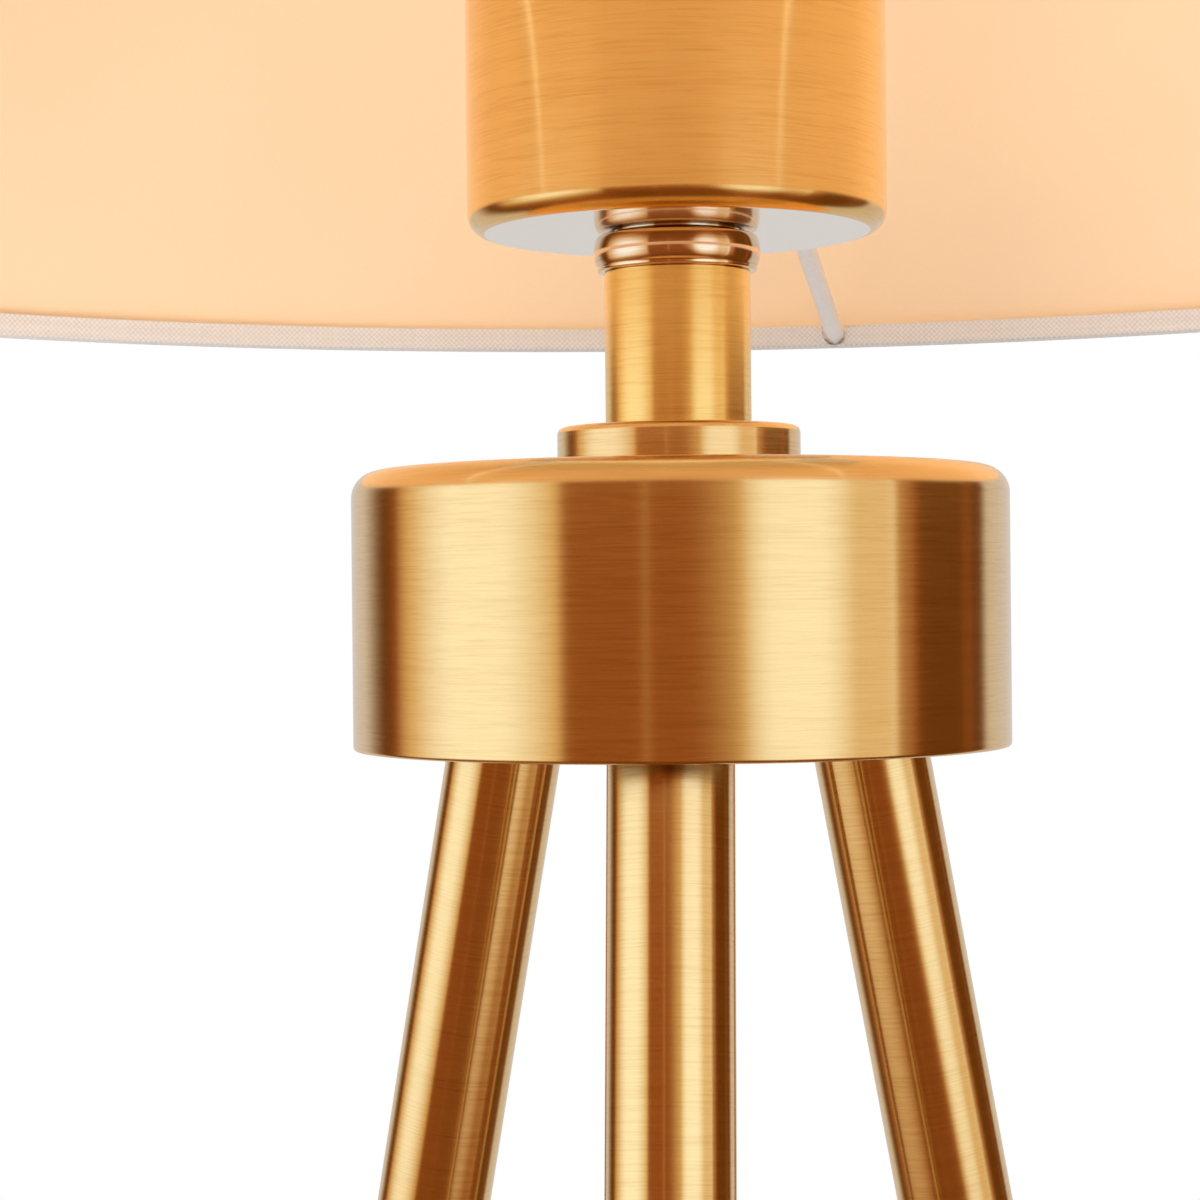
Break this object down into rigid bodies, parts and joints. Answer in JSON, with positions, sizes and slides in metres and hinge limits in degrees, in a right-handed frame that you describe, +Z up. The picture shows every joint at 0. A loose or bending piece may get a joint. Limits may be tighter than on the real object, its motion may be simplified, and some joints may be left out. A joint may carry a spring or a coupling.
{
  "type": "tripod table lamp",
  "caption": "Table lamp with splayed brass tube legs, a drum hub, a short stacked stem and socket cup, and a wide fabric drum shade on a wire carrier.",
  "frame": {"origin": "on the lamp's axis, level with the soles of the feet", "axes": "+Z up along the lamp's axis, -Y towards the front leg, +X towards the right of someone who faces that leg"},
  "size_m": [0.3299, 0.33, 0.5971],
  "materials": {
    "brushed_brass": "satin, brushed around the axis, clear lacquer",
    "polished_brass": "polished, clear lacquer",
    "cast_core": "black painted casting",
    "plated_steel": "zinc plated",
    "foot_rubber": "matt black",
    "bushing_plastic": "matt black",
    "holder_plastic": "moulded off-white, heat resistant",
    "holder_ceramic": "unglazed white",
    "contact_metal": "plain",
    "opal_glass": "opal, lit warm white",
    "cap_metal": "bright, rolled",
    "cap_insulator": "black glass",
    "carrier_paint": "white powder coat",
    "shade_sheet": "translucent white, matt",
    "shade_cloth": "plain woven off-white cloth"
  },
  "bodies": {
    "stand": {"hub_shell": "brushed_brass", "collar": "brushed_brass", "stem_tube": "brushed_brass", "socket_cup": "brushed_brass", "leg_front": "brushed_brass", "leg_left": "brushed_brass", "leg_right": "brushed_brass", "bead_ring": "polished_brass", "neck_ring": "polished_brass", "hub_core": "cast_core", "leg_inserts": "plated_steel", "leg_studs": "plated_steel", "nipple": "plated_steel", "lower_nut": "plated_steel", "lower_washer": "plated_steel", "upper_washer": "plated_steel", "upper_nut": "plated_steel", "terminal_screws": "plated_steel", "foot_front": "foot_rubber", "foot_left": "foot_rubber", "foot_right": "foot_rubber", "cord_bushing": "bushing_plastic", "holder_base": "holder_plastic", "holder_skirt": "holder_plastic", "ceramic_block": "holder_ceramic", "centre_contact": "contact_metal", "screw_shell": "contact_metal"},
    "shade": {"carrier_plate": "carrier_paint", "carrier_spokes": "carrier_paint", "lower_hoop": "carrier_paint", "upper_hoop": "carrier_paint", "shade_lining": "shade_sheet", "shade_fabric": "shade_cloth", "lower_hem": "shade_cloth", "upper_hem": "shade_cloth"},
    "ring_nut": {"ring_nut": "holder_plastic"},
    "bulb": {"bulb_globe": "opal_glass", "bulb_cap": "cap_metal", "bulb_insulator": "cap_insulator", "bulb_contact": "cap_metal"}
  },
  "joints": [
    {"name": "shade_turn", "type": "hinge", "parent": "stand", "child": "shade", "pos_m": [0, 0, 0.4206], "axis": [0, 0, 1], "continuous": true},
    {"name": "ring_nut_unscrew", "type": "hinge", "parent": "stand", "child": "ring_nut", "pos_m": [0, 0, 0.426], "axis": [0, 0, 1], "range_deg": [0, 720]},
    {"name": "bulb_unscrew", "type": "hinge", "parent": "stand", "child": "bulb", "pos_m": [0, 0, 0.42], "axis": [0, 0, 1], "range_deg": [0, 900]}
  ]
}
